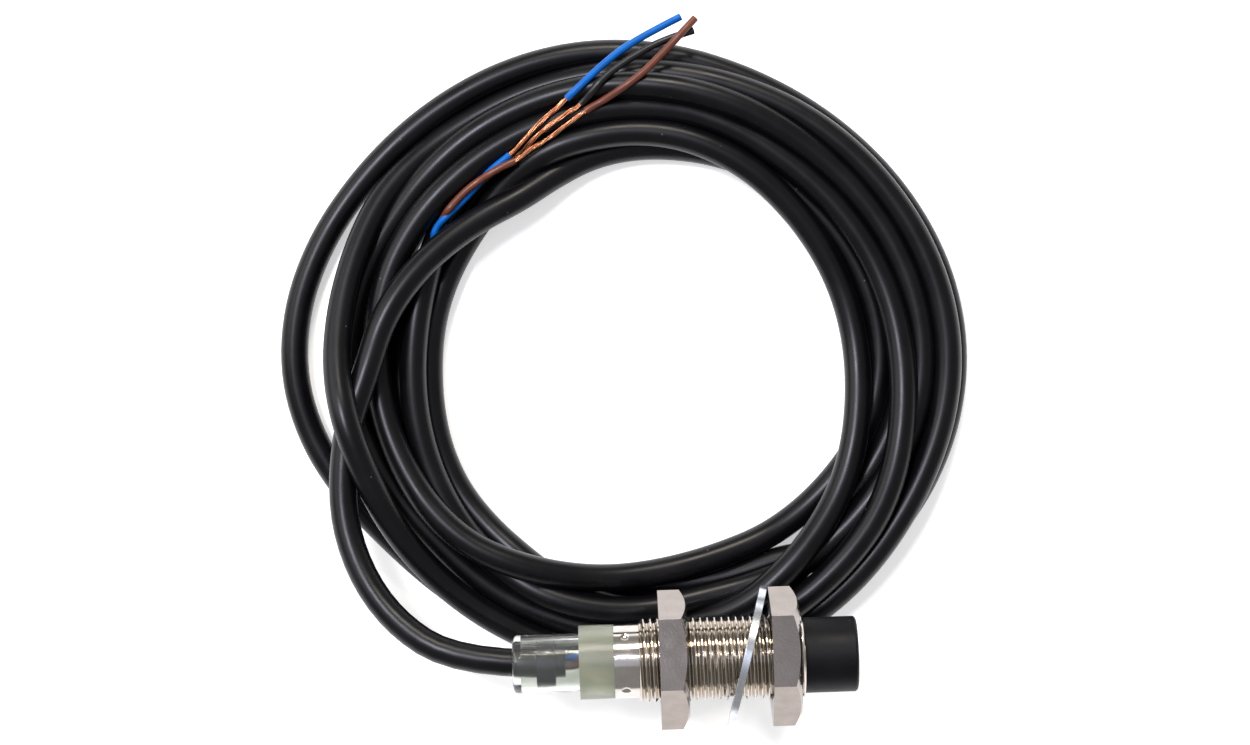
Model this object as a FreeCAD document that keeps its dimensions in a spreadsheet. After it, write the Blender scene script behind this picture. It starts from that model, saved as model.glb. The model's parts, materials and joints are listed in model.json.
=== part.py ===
"""Inductive proximity sensor: M12 x 1 threaded barrel with a moulded-on three-core cable.

Axes: +X runs along the barrel and out of the sensing face, +Y points towards the coiled cable and
+Z is up. The origin is the centre of the sensing face. Lengths are millimetres, angles degrees.
"""

import FreeCAD, Part
import math
import os
import re
from collections import namedtuple

import Sketcher
from FreeCAD import Placement, Rotation, Vector

SIZES = {
    # Barrel, a turned and threaded tube
    "thread_diameter": 12.0,
    "thread_pitch": 1.0,
    "thread_depth": 0.58,
    "thread_length": 23.1,
    "thread_chamfer": 0.35,
    "neck_diameter": 10.4,
    "neck_length": 3.55,
    "barrel_bore": 9.4,
    "crimp_radius": 1.0,
    "crimp_depth": 0.3,
    "crimp_setback": 1.6,
    # Sensing head, a plastic cup that closes the front of the barrel
    "head_diameter": 10.6,
    "head_length": 7.45,
    "head_edge": 0.3,
    "front_wall": 0.9,
    "skirt_length": 4.5,
    "skirt_wall": 0.55,
    # Pot core, spool and winding behind the front wall
    "core_length": 3.6,
    "core_post": 3.2,
    "core_rim": 0.75,
    "core_back": 1.0,
    "spool_wall": 0.22,
    "coil_wire": 0.3,
    "coil_wire_height": 2.45,
    # Circuit board
    "board_setback": 5.4,
    "board_width": 7.0,
    "board_thickness": 0.8,
    "pad_spacing": 1.6,
    "pad_setback": 1.2,
    "solder_radius": 0.55,
    "light_gap": 0.15,
    # Light ring and clear end cap
    "ring_diameter": 10.4,
    "ring_length": 4.9,
    "ring_wall": 0.75,
    "ring_spigot": 2.4,
    "end_cap_diameter": 8.2,
    "end_cap_length": 9.4,
    "end_cap_wall": 0.75,
    "end_cap_back": 1.2,
    "end_cap_edge": 0.7,
    "end_cap_spigot": 1.4,
    "clamp_length": 2.6,
    "clamp_setback": 3.4,
    # Cable and its cores
    "cable_diameter": 4.0,
    "jacket_inset": 7.4,
    "cable_straight": 7.0,
    "core_diameter": 1.15,
    "conductor_diameter": 0.74,
    # Coiled cable, lying on the table
    "coil_centre_x": -32.2,
    "coil_centre_y": 43.0,
    "coil_half_length": 49.8,
    "coil_half_width": 45.2,
    "coil_hole_x": -29.7,
    "coil_hole_y": 42.4,
    "coil_hole_radius": 30.2,
    "coil_height": 8.2,
    "coil_edge": 2.0,
    "table_drop": 19.0,
    # Fixing nuts
    "nut_width": 17.0,
    "nut_thickness": 4.0,
    "nut_thread_depth": 0.4,
    "nut_chamfer": 0.35,
    "nut_mouth": 0.3,
    "nut_turn": -10.0,
    "front_nut_setback": 8.1,
    "rear_nut_setback": 23.75,
    # Internal-tooth lock washer, leaning on the front nut
    "washer_diameter": 20.5,
    "washer_thickness": 1.0,
    "washer_rim": 2.0,
    "tooth_width": 1.9,
    "tooth_thickness": 0.6,
    "tooth_twist": 16.0,
    "tooth_root": 0.3,
    "washer_clearance": 0.55,
    "washer_tilt": 15.4,
    "washer_tilt_side": 12.0,
    "washer_lean_gap": 0.1,
    # Clearances
    "thread_gap": 0.05,
    "fit_gap": 0.05,
    "inner_gap": 0.1,
}

TOOTH_COUNT = 12
CRIMP_COUNT = 4
HEX_SIDES = 6
FULL_TURN = 360.0
OVERSHOOT = 1.0
CREST_SHARE = 0.06
FLANK_SHARE = 0.46
ARC_SHARE = 0.45
VOLUME_TOLERANCE = 0.01

# Chips and small parts on the board, all in millimetres. "along" is measured from the board's front
# end and "across" from its middle line, side is +1 or -1 for the face that looks along +Y or -Y.
Chip = namedtuple("Chip", "along across length width height side")
BOARD_PARTS = {
    "oscillator_chip": [Chip(12.0, 0.0, 5.0, 4.0, 1.5, 1)],
    "output_transistor": [Chip(21.5, 0.0, 4.5, 2.5, 1.5, 1)],
    "chip_resistors": [
        Chip(8.2, 1.8, 1.6, 0.8, 0.45, 1),
        Chip(8.2, -1.8, 1.6, 0.8, 0.45, 1),
        Chip(17.0, 1.8, 1.6, 0.8, 0.45, 1),
        Chip(17.0, -1.8, 1.6, 0.8, 0.45, 1),
        Chip(11.0, 1.5, 1.6, 0.8, 0.45, -1),
        Chip(14.5, 1.5, 1.6, 0.8, 0.45, -1),
    ],
    "chip_capacitors": [
        Chip(11.0, -1.4, 2.0, 1.25, 1.0, -1),
        Chip(15.0, -1.4, 2.0, 1.25, 1.0, -1),
        Chip(21.0, 0.0, 3.2, 1.6, 1.4, -1),
    ],
}
LIGHT = Chip(-0.55, 0.0, 1.1, 1.6, 0.8, 1)
SIDES = (1, -1)

# Core colours, with where each starts round the cable's middle and which way it goes on the board.
InnerCore = namedtuple("InnerCore", "angle row")
INNER_CORES = {
    "brown": InnerCore(120.0, 1),
    "blue": InnerCore(0.0, 0),
    "black": InnerCore(240.0, -1),
}

# The lead's route after its straight run out of the end cap: round and down onto the coil.
LEAD_ROUTE = [
    (-66.5, 7.0, -3.5),
    (-72.5, 19.0, -7.0),
    (-72.0, 32.5, -8.0),
    (-68.2, 43.0, -11.4),
]

# Each free core's route over the coil and out past it, which layer it lies in, how far along it is
# stripped, and how long the loose sleeve on its tip is.
FreeCore = namedtuple("FreeCore", "layer stripped_at sleeve_length route")
FREE_CORES = {
    "blue": FreeCore(
        0,
        16.0,
        20.4,
        [
            (-58.4, 61.9),
            (-52.4, 67.9),
            (-46.6, 72.8),
            (-41.8, 77.0),
            (-36.2, 82.7),
            (-29.4, 87.8),
            (-21.6, 92.0),
        ],
    ),
    "black": FreeCore(
        1,
        16.9,
        20.1,
        [
            (-58.8, 62.6),
            (-52.2, 68.2),
            (-45.6, 73.2),
            (-39.2, 77.7),
            (-33.2, 83.0),
            (-27.0, 87.2),
            (-19.7, 89.9),
        ],
    ),
    "brown": FreeCore(
        2,
        14.0,
        21.1,
        [
            (-57.4, 63.8),
            (-51.6, 68.6),
            (-45.6, 71.9),
            (-39.4, 76.3),
            (-32.4, 80.2),
            (-26.0, 84.6),
            (-19.4, 91.6),
        ],
    ),
}

# Places along the barrel, as formulas of the sheet's names.
BARREL_FRONT = "-head_length"
THREAD_BACK = f"({BARREL_FRONT}-thread_length)"
BARREL_BACK = f"({THREAD_BACK}-neck_length)"
RING_BACK = f"({BARREL_BACK}-ring_length)"
CAP_BACK = f"({RING_BACK}-end_cap_length)"
JACKET_END = f"({CAP_BACK}+jacket_inset)"
THREAD_RADIUS = "thread_diameter/2"
CUP_RADIUS = "(barrel_bore/2-fit_gap-skirt_wall)"
POT_RADIUS = f"({CUP_RADIUS}-inner_gap)"
POT_FRONT = "(-front_wall-inner_gap)"
POT_BACK = f"({POT_FRONT}-core_length)"
GROOVE_FLOOR = f"({POT_BACK}+core_back)"
SPOOL_INNER = "(core_post/2+inner_gap)"
SPOOL_OUTER = f"({POT_RADIUS}-core_rim-inner_gap)"
SPOOL_FRONT = f"({POT_FRONT}-inner_gap)"
SPOOL_BACK = f"({GROOVE_FLOOR}+inner_gap)"
BOARD_FRONT = "(-board_setback)"
BOARD_BACK = f"({RING_BACK}+end_cap_spigot+inner_gap)"
RING_INNER = "(barrel_bore/2-fit_gap-ring_wall)"
CAP_INNER = "(end_cap_diameter/2-end_cap_wall)"
CORE_END = f"({BOARD_BACK}+pad_setback)"
LIGHTS_BACK = f"({CORE_END}+2*solder_radius+light_gap)"
STRAIGHT_END = f"({CAP_BACK}-cable_straight)"
COIL_TOP = "(coil_height-table_drop)"


def tied(formula):
    """Name the sheet in front of every size that a formula reads; each size has an underscore."""
    return re.sub(r"\b[a-z]+(?:_[a-z]+)+\b", r"Sizes.\g<0>", formula)


class Bench:
    """The document, its sheet of sizes and the finished sub-parts."""

    def __init__(self):
        self.doc = FreeCAD.newDocument("ProximitySensor")
        self.sheet = self.doc.addObject("Spreadsheet::Sheet", "Sizes")
        self.pieces = []
        for row, (name, number) in enumerate(SIZES.items(), start=1):
            self.sheet.set(f"A{row}", name)
            self.sheet.set(f"B{row}", str(number))
            self.sheet.setAlias(f"B{row}", name)
        self.doc.recompute()

    def value(self, formula):
        """The number that a formula gives with the sheet as it stands."""
        return float(self.sheet.evalExpression(tied(formula)))

    def add(self, kind, name, formulas):
        """Add an object whose named properties are bound to the sheet."""
        item = self.doc.addObject(kind, name)
        self.bind(item, formulas)
        return item

    def bind(self, item, formulas):
        """Bind properties to formulas."""
        for path, formula in formulas.items():
            item.setExpression(path, tied(formula))

    def keep(self, item, label):
        """List an object as a finished sub-part under its own label."""
        item.Label = label
        self.pieces.append(item)
        return item

    def outline(self, body, name, corners, role="XY_Plane"):
        """A closed outline of straight sides in one of a body's own planes, bound to the sheet."""
        plane = next(item for item in body.Origin.OriginFeatures if item.Role == role)
        sketch = body.newObject("Sketcher::SketchObject", name)
        sketch.AttachmentSupport = [(plane, "")]
        sketch.MapMode = "FlatFace"
        places = [Vector(self.value(across), self.value(up), 0) for across, up in corners]
        count = len(places)
        for index in range(count):
            side = Part.LineSegment(places[index], places[(index + 1) % count])
            sketch.addGeometry(side)
        for index in range(count):
            joined = Sketcher.Constraint("Coincident", index, 2, (index + 1) % count, 1)
            sketch.addConstraint(joined)
        for index, (corner, place) in enumerate(zip(corners, places)):
            for direction, formula, number in zip("XY", corner, place):
                rule = Sketcher.Constraint(f"Distance{direction}", -1, 1, index, 1, number)
                row = sketch.addConstraint(rule)
                sketch.setExpression(f"Constraints[{row}]", tied(formula))
        return sketch

    def turned(self, name, corners, role="XY_Plane", axis="H_Axis"):
        """A body turned from an outline about one of the outline's own axes."""
        body = self.doc.addObject("PartDesign::Body", name)
        sketch = self.outline(body, name + "_outline", corners, role)
        turn = body.newObject("PartDesign::Revolution", name + "_turned")
        turn.Profile = sketch
        turn.ReferenceAxis = (sketch, [axis])
        turn.Angle = FULL_TURN
        self.doc.recompute()
        return body

    def turned_away(self, body, name, corners):
        """Turn an outline out of a body, about X."""
        before = body.Shape.Volume
        sketch = self.outline(body, name + "_outline", corners)
        groove = body.newObject("PartDesign::Groove", name)
        groove.Profile = sketch
        groove.ReferenceAxis = (sketch, ["H_Axis"])
        groove.Angle = FULL_TURN
        self.doc.recompute()
        must_shrink(body, before, name)

    def helix(self, body, name, corners, length):
        """Cut one outline along a right-hand helix about X that runs back from where it starts."""
        before = body.Shape.Volume
        sketch = self.outline(body, name + "_outline", corners)
        self.doc.recompute()
        groove = body.newObject("PartDesign::SubtractiveHelix", name)
        groove.Profile = sketch
        groove.ReferenceAxis = (sketch, ["H_Axis"])
        groove.Mode = "pitch-height-angle"
        groove.Reversed = True
        self.bind(groove, {"Pitch": "thread_pitch", "Height": length})
        self.doc.recompute()
        must_shrink(body, before, name)

    def rod(self, name, start, length, radius, across="0", up="0"):
        """A round rod along X from start towards +X."""
        formulas = {
            "Radius": radius,
            "Height": length,
            "Placement.Base.x": start,
            "Placement.Base.y": across,
            "Placement.Base.z": up,
        }
        rod = self.doc.addObject("Part::Cylinder", name)
        rod.Placement = Placement(Vector(), Rotation(Vector(0, 1, 0), 90))
        self.bind(rod, formulas)
        return rod

    def block(self, name, low, size):
        """A box from its lowest corner and its size, each three formulas."""
        formulas = dict(zip(("Length", "Width", "Height"), size))
        formulas.update(zip(("Placement.Base.x", "Placement.Base.y", "Placement.Base.z"), low))
        return self.add("Part::Box", name, formulas)

    def join(self, name, items):
        """Several objects as one, touching or apart."""
        joined = self.doc.addObject("Part::MultiFuse", name)
        joined.Shapes = items
        return joined

    def cut(self, name, base, tool):
        """One object with another taken out of it."""
        less = self.doc.addObject("Part::Cut", name)
        less.Base = base
        less.Tool = tool
        return less

    def feature(self, label, shape):
        """A sub-part whose shape follows a free route in space."""
        item = self.doc.addObject("Part::Feature", label)
        item.Shape = shape
        item.Placement = Placement()
        return self.keep(item, label)


def must_shrink(body, before, name):
    """Stop if a cut took nothing away."""
    if body.Shape.isNull() or body.Shape.Volume >= before:
        raise RuntimeError(f"{name} cut nothing")


def barrel(bench):
    """Threaded metal tube with a plain neck that is punched in four places."""
    chamfer_radius = f"{THREAD_RADIUS}-thread_chamfer"
    corners = [
        (BARREL_FRONT, "barrel_bore/2"),
        (BARREL_FRONT, chamfer_radius),
        (f"{BARREL_FRONT}-thread_chamfer", THREAD_RADIUS),
        (f"{THREAD_BACK}+thread_chamfer", THREAD_RADIUS),
        (THREAD_BACK, chamfer_radius),
        (THREAD_BACK, "neck_diameter/2"),
        (BARREL_BACK, "neck_diameter/2"),
        (BARREL_BACK, "barrel_bore/2"),
    ]
    body = bench.turned("threaded_barrel_body", corners)
    start = f"({BARREL_FRONT}+thread_pitch)"
    root = f"{THREAD_RADIUS}-thread_depth"
    crest = f"{THREAD_RADIUS}+fit_gap"
    groove = [
        (f"{start}-{CREST_SHARE}*thread_pitch", root),
        (f"{start}-{FLANK_SHARE}*thread_pitch", crest),
        (f"{start}+{FLANK_SHARE}*thread_pitch", crest),
        (f"{start}+{CREST_SHARE}*thread_pitch", root),
    ]
    bench.helix(body, "barrel_thread", groove, f"thread_length+{2 * OVERSHOOT}*thread_pitch")
    punch_neck(bench, body)
    bench.keep(body, "threaded_barrel")


def punch_neck(bench, body):
    """Press the crimp marks into the neck, evenly round it."""
    before = body.Shape.Volume
    punch = body.newObject("PartDesign::SubtractiveSphere", "crimp")
    slant = "(neck_diameter/2+crimp_radius-crimp_depth)*sqrt(0.5)"
    formulas = {
        "Radius": "crimp_radius",
        "AttachmentOffset.Base.x": f"{BARREL_BACK}+crimp_setback",
        "AttachmentOffset.Base.y": slant,
        "AttachmentOffset.Base.z": slant,
    }
    planes = body.Origin.OriginFeatures
    punch.AttachmentSupport = [(next(item for item in planes if item.Role == "XY_Plane"), "")]
    punch.MapMode = "FlatFace"
    bench.bind(punch, formulas)
    bench.doc.recompute()
    pattern = body.newObject("PartDesign::PolarPattern", "crimps")
    pattern.Originals = [punch]
    pattern.Axis = (next(item for item in planes if item.Role == "X_Axis"), [""])
    pattern.Angle = FULL_TURN
    pattern.Occurrences = CRIMP_COUNT
    body.Tip = pattern
    bench.doc.recompute()
    must_shrink(body, before, "crimps")


def sensing_head(bench):
    """Plastic cup: the sensing face, and a skirt that plugs into the barrel."""
    skirt = "barrel_bore/2-fit_gap"
    skirt_back = f"{BARREL_FRONT}-skirt_length"
    corners = [
        ("0", "0"),
        ("0", "head_diameter/2-head_edge"),
        ("-head_edge", "head_diameter/2"),
        (BARREL_FRONT, "head_diameter/2"),
        (BARREL_FRONT, skirt),
        (skirt_back, skirt),
        (skirt_back, CUP_RADIUS),
        ("-front_wall", CUP_RADIUS),
        ("-front_wall", "0"),
    ]
    bench.keep(bench.turned("sensing_head_body", corners), "sensing_head")


def pot_core(bench):
    """Ferrite cup core, open towards the sensing face, with two holes for the coil's wires."""
    inside = f"{POT_RADIUS}-core_rim"
    corners = [
        (POT_BACK, "0"),
        (POT_BACK, POT_RADIUS),
        (POT_FRONT, POT_RADIUS),
        (POT_FRONT, inside),
        (GROOVE_FLOOR, inside),
        (GROOVE_FLOOR, "core_post/2"),
        (POT_FRONT, "core_post/2"),
        (POT_FRONT, "0"),
    ]
    blank = bench.turned("ferrite_blank", corners)
    holes = coil_wires(bench, "ferrite_hole", "coil_wire/2+inner_gap")
    bench.keep(bench.cut("ferrite_core_cut", blank, holes), "ferrite_core")


def coil_wires(bench, name, radius):
    """Two rods from the spool's back to the board's face, one above the other."""
    length = f"{SPOOL_BACK}-{BOARD_FRONT}+pad_setback"
    beside = "board_thickness/2+coil_wire/2"
    rods = []
    for side in SIDES:
        start = f"{BOARD_FRONT}-pad_setback"
        rod = bench.rod(f"{name}_{len(rods)}", start, length, radius, beside, f"{side}*coil_wire_height")
        rods.append(rod)
    return bench.join(name + "s", rods)


def sensing_coil(bench):
    """The spool in the core's groove, the winding on it and the winding's two wires."""
    drum = f"{SPOOL_INNER}+spool_wall"
    front = f"{SPOOL_FRONT}-spool_wall"
    back = f"{SPOOL_BACK}+spool_wall"
    spool = [
        (SPOOL_BACK, SPOOL_INNER),
        (SPOOL_BACK, SPOOL_OUTER),
        (back, SPOOL_OUTER),
        (back, drum),
        (front, drum),
        (front, SPOOL_OUTER),
        (SPOOL_FRONT, SPOOL_OUTER),
        (SPOOL_FRONT, SPOOL_INNER),
    ]
    bench.keep(bench.turned("coil_spool_body", spool), "coil_spool")
    top = f"{SPOOL_OUTER}-inner_gap"
    winding = [(back, drum), (back, top), (front, top), (front, drum)]
    bench.keep(bench.turned("coil_winding_body", winding), "coil_winding")
    bench.keep(coil_wires(bench, "coil_wire", "coil_wire/2"), "coil_wires")


def chip(bench, name, part, end):
    """A small block on one face of the board, placed from one end of it."""
    half = "board_thickness/2"
    low = [
        f"{end}-{part.along}-{part.length / 2}",
        half if part.side > 0 else f"-{half}-{part.height}",
        f"{part.across}-{part.width / 2}",
    ]
    return bench.block(name, low, [str(part.length), str(part.height), str(part.width)])


def electronics(bench):
    """Circuit board with its parts, the lights and the resin that fills the barrel round them."""
    low = [BOARD_BACK, "-board_thickness/2", "-board_width/2"]
    size = [f"{BOARD_FRONT}-{BOARD_BACK}", "board_thickness", "board_width"]
    board = bench.keep(bench.block("board_block", low, size), "circuit_board")
    fitted = [board]
    for label, parts in BOARD_PARTS.items():
        blocks = [chip(bench, f"{label}_{n}", part, BOARD_FRONT) for n, part in enumerate(parts)]
        item = blocks[0] if len(blocks) == 1 else bench.join(label + "_set", blocks)
        fitted.append(bench.keep(item, label))
    lights = [chip(bench, f"light_{side}", LIGHT._replace(side=side), LIGHTS_BACK) for side in SIDES]
    bench.keep(bench.join("lights", lights), "status_lights")
    front = f"{BARREL_FRONT}-skirt_length-inner_gap"
    back = f"{BARREL_BACK}+ring_spigot+inner_gap"
    fill = bench.rod("resin_fill", back, f"({front})-({back})", "barrel_bore/2")
    bench.keep(bench.cut("resin_cut", fill, bench.join("resin_hollow", fitted)), "potting_resin")


def solder(bench):
    """Half-round solder joints where the coil's wires and the cable's cores meet the board."""
    joints = []
    for core in INNER_CORES.values():
        joints.append((f"{CORE_END}+solder_radius", f"{core.row}*pad_spacing"))
    for side in SIDES:
        joints.append((f"{BOARD_FRONT}-pad_setback-solder_radius", f"{side}*coil_wire_height"))
    domes = []
    for along, up in joints:
        dome = bench.doc.addObject("Part::Sphere", f"solder_dome_{len(domes)}")
        dome.Angle1 = 0
        dome.Placement = Placement(Vector(), Rotation(Vector(1, 0, 0), -90))
        formulas = {
            "Radius": "solder_radius",
            "Placement.Base.x": along,
            "Placement.Base.y": "board_thickness/2",
            "Placement.Base.z": up,
        }
        bench.bind(dome, formulas)
        domes.append(dome)
    bench.keep(bench.join("solder_domes", domes), "solder_joints")


def light_ring(bench):
    """Milky ring that the lights shine through, plugged into the barrel's neck."""
    spigot = "barrel_bore/2-fit_gap"
    front = f"{BARREL_BACK}+ring_spigot"
    corners = [
        (RING_BACK, RING_INNER),
        (RING_BACK, "ring_diameter/2"),
        (BARREL_BACK, "ring_diameter/2"),
        (BARREL_BACK, spigot),
        (front, spigot),
        (front, RING_INNER),
    ]
    bench.keep(bench.turned("light_ring_body", corners), "light_ring")


def end_cap(bench):
    """Clear cap with a rounded back edge, a bore for the cable and a spigot in the light ring."""
    outer = "end_cap_diameter/2"
    spigot = f"{RING_INNER}-fit_gap"
    front = f"{RING_BACK}+end_cap_spigot"
    inside_back = f"{CAP_BACK}+end_cap_back"
    corners = [
        (CAP_BACK, "cable_diameter/2"),
        (CAP_BACK, outer),
        (RING_BACK, outer),
        (RING_BACK, spigot),
        (front, spigot),
        (front, CAP_INNER),
        (inside_back, CAP_INNER),
        (inside_back, "cable_diameter/2"),
    ]
    body = bench.turned("clear_end_cap_body", corners)
    back = bench.value(CAP_BACK)
    radius = bench.value(outer)
    turned = body.Tip
    rims = [
        f"Edge{number}"
        for number, edge in enumerate(turned.Shape.Edges, start=1)
        if is_circle_at(edge, back, radius)
    ]
    rounding = body.newObject("PartDesign::Fillet", "end_cap_rounding")
    rounding.Base = (turned, rims)
    bench.bind(rounding, {"Radius": "end_cap_edge"})
    bench.doc.recompute()
    bench.keep(body, "clear_end_cap")


def is_circle_at(edge, along, radius):
    """Whether an edge is a circle about X at this place and of this radius."""
    curve = edge.Curve
    if curve.TypeId != "Part::GeomCircle":
        return False
    near = 0.001
    return abs(curve.Radius - radius) < near and abs(curve.Center.x - along) < near


def cable_clamp(bench):
    """Rubber ring that grips the cable's jacket inside the end cap."""
    back = f"({CAP_BACK}+clamp_setback)"
    front = f"{back}+clamp_length"
    outer = f"{CAP_INNER}-fit_gap"
    corners = [
        (back, "cable_diameter/2"),
        (back, outer),
        (front, outer),
        (front, "cable_diameter/2"),
    ]
    bench.keep(bench.turned("cable_clamp_body", corners), "cable_clamp_ring")


def nut(bench, label, setback):
    """Hexagon nut with rounded corners on its front side and its own thread in the bore."""
    body = bench.doc.addObject("PartDesign::Body", label + "_body")
    corner = "nut_width/sqrt(3)"
    hexagon = []
    for index in range(HEX_SIDES):
        angle = f"({index}*{FULL_TURN / HEX_SIDES}+nut_turn)"
        hexagon.append((f"{corner}*cos({angle})", f"{corner}*sin({angle})"))
    sketch = bench.outline(body, label + "_hexagon", hexagon, "YZ_Plane")
    back = f"(-{setback}-nut_thickness)"
    front = f"(-{setback})"
    bench.bind(sketch, {"AttachmentOffset.Base.z": back})
    pad = body.newObject("PartDesign::Pad", label + "_pad")
    pad.Profile = sketch
    bench.bind(pad, {"Length": "nut_thickness"})
    bench.doc.recompute()

    beyond = f"{corner}+{OVERSHOOT}"
    face_edge = "nut_width/2-nut_chamfer"
    drop = f"({beyond}-({face_edge}))*tan(30)"
    corners = [
        (front, face_edge),
        (f"{front}+{OVERSHOOT}", face_edge),
        (f"{front}+{OVERSHOOT}", beyond),
        (f"{front}-{drop}", beyond),
    ]
    bench.turned_away(body, label + "_corners", corners)

    bore = f"({THREAD_RADIUS}+thread_gap)"
    mouth = f"{bore}+nut_mouth"
    hole = [
        (front, "0"),
        (front, mouth),
        (f"{front}-nut_mouth", bore),
        (f"{back}+nut_mouth", bore),
        (back, mouth),
        (back, "0"),
    ]
    bench.turned_away(body, label + "_bore", hole)

    start = f"({front}+thread_pitch)"
    groove = [
        (f"{start}-{FLANK_SHARE}*thread_pitch", f"{bore}-fit_gap"),
        (f"{start}-{CREST_SHARE}*thread_pitch", f"{bore}+nut_thread_depth"),
        (f"{start}+{CREST_SHARE}*thread_pitch", f"{bore}+nut_thread_depth"),
        (f"{start}+{FLANK_SHARE}*thread_pitch", f"{bore}-fit_gap"),
    ]
    bench.helix(body, label + "_thread", groove, f"nut_thickness+{2 * OVERSHOOT}*thread_pitch")
    bench.keep(body, label)


def lock_washer(bench):
    """Ring with twisted teeth inside it, leaning so that its rim nearly meets the front nut."""
    outer = "washer_diameter/2"
    hole = f"({outer}-washer_rim)"
    disc = bench.rod("washer_disc", "-washer_thickness/2", "washer_thickness", outer)
    middle = bench.rod("washer_middle", "-washer_thickness", "2*washer_thickness", hole)
    parts = [bench.cut("washer_ring", disc, middle)]
    tip = bench.value(f"{THREAD_RADIUS}+washer_clearance")
    reach = f"{hole}+tooth_root-({THREAD_RADIUS}+washer_clearance)"
    width = bench.value("tooth_width")
    thickness = bench.value("tooth_thickness")
    twist = Rotation(Vector(0, 0, 1), bench.value("tooth_twist"))
    for index in range(TOOTH_COUNT):
        formulas = {"Length": "tooth_thickness", "Width": "tooth_width", "Height": reach}
        tooth = bench.add("Part::Box", f"washer_tooth_{index}", formulas)
        turn = Placement(Vector(), Rotation(Vector(1, 0, 0), index * FULL_TURN / TOOTH_COUNT))
        middle_out = Placement(Vector(-thickness / 2, -width / 2, 0), Rotation())
        tooth.Placement = turn * Placement(Vector(0, 0, tip), twist) * middle_out
        parts.append(tooth)
    washer = bench.join("washer_parts", parts)
    side = math.radians(bench.value("washer_tilt_side"))
    hinge_line = Vector(0, -math.sin(side), -math.cos(side))
    washer.Placement = Placement(Vector(), Rotation(hinge_line, 1))
    lean = f"({outer}*sin(washer_tilt)+washer_thickness/2*cos(washer_tilt))"
    place = f"-front_nut_setback-nut_thickness-washer_lean_gap-{lean}"
    bench.bind(washer, {"Placement.Base.x": place, "Placement.Rotation.Angle": "washer_tilt"})
    bench.keep(washer, "lock_washer")


def rounded_route(points, label):
    """Straight runs joined by arcs, each as large as its two runs allow, as a list of edges."""
    places = [Vector(*point) for point in points]
    edges = []
    radii = []
    here = places[0]
    for before, corner, after in zip(places, places[1:], places[2:]):
        way_in = (corner - before).normalize()
        way_out = (after - corner).normalize()
        half_turn = way_in.getAngle(way_out) / 2
        reach = ARC_SHARE * min(before.distanceToPoint(corner), corner.distanceToPoint(after))
        radius = reach / math.tan(half_turn)
        inward = (way_out - way_in).normalize()
        middle = corner + inward * (radius / math.cos(half_turn) - radius)
        start = corner - way_in * reach
        end = corner + way_out * reach
        edges.append(Part.LineSegment(here, start).toShape())
        edges.append(Part.Arc(start, middle, end).toShape())
        radii.append(round(radius, 1))
        here = end
    edges.append(Part.LineSegment(here, places[-1]).toShape())
    print(label, "arc radii", radii, "length", round(sum(edge.Length for edge in edges), 1))
    return edges


def stretch(edges, start, end):
    """The part of a route between two distances along it."""
    kept = []
    along = 0.0
    tiny = 1e-6
    for edge in edges:
        low = max(start - along, 0.0)
        high = min(end - along, edge.Length)
        if high - low > tiny:
            first = edge.getParameterByLength(low)
            last = edge.getParameterByLength(high)
            kept.append(edge.Curve.toShape(first, last))
        along += edge.Length
    return kept


def swept(edges, radius, label):
    """A round solid along a route, checked against its section times its length."""
    path = Part.Wire(edges)
    start = edges[0].valueAt(edges[0].FirstParameter)
    facing = edges[0].tangentAt(edges[0].FirstParameter)
    section = Part.Wire(Part.Circle(start, facing, radius).toShape())
    solid = path.makePipeShell([section], True, False)
    expected = math.pi * radius**2 * path.Length
    if abs(solid.Volume / expected - 1) > VOLUME_TOLERANCE:
        raise RuntimeError(f"{label} has volume {solid.Volume:.2f}, not {expected:.2f}")
    return solid


def inner_cores(bench):
    """The three insulated cores from the jacket's end to their pads on the board."""
    radius = bench.value("core_diameter/2")
    jacket_end = bench.value(JACKET_END)
    core_end = bench.value(CORE_END)
    ring = bench.value("core_diameter+fit_gap") / math.sqrt(3)
    beside = bench.value("board_thickness/2+core_diameter/2")
    spacing = bench.value("pad_spacing")
    span = core_end - jacket_end
    for colour, core in INNER_CORES.items():
        angle = math.radians(core.angle)
        bundle = (ring * math.cos(angle), ring * math.sin(angle))
        pad = (beside, core.row * spacing)
        route = [
            (jacket_end, *bundle),
            (jacket_end + span * 0.3, *bundle),
            (jacket_end + span * 0.62, *pad),
            (core_end, *pad),
        ]
        label = f"{colour}_inner_core"
        bench.feature(label, swept(rounded_route(route, label), radius, label))


def cable_lead(bench):
    """The jacketed cable from inside the end cap to the coil."""
    straight = [(bench.value(end), 0.0, 0.0) for end in (JACKET_END, STRAIGHT_END)]
    label = "cable_lead"
    edges = rounded_route(straight + LEAD_ROUTE, label)
    bench.feature(label, swept(edges, bench.value("cable_diameter/2"), label))


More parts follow.
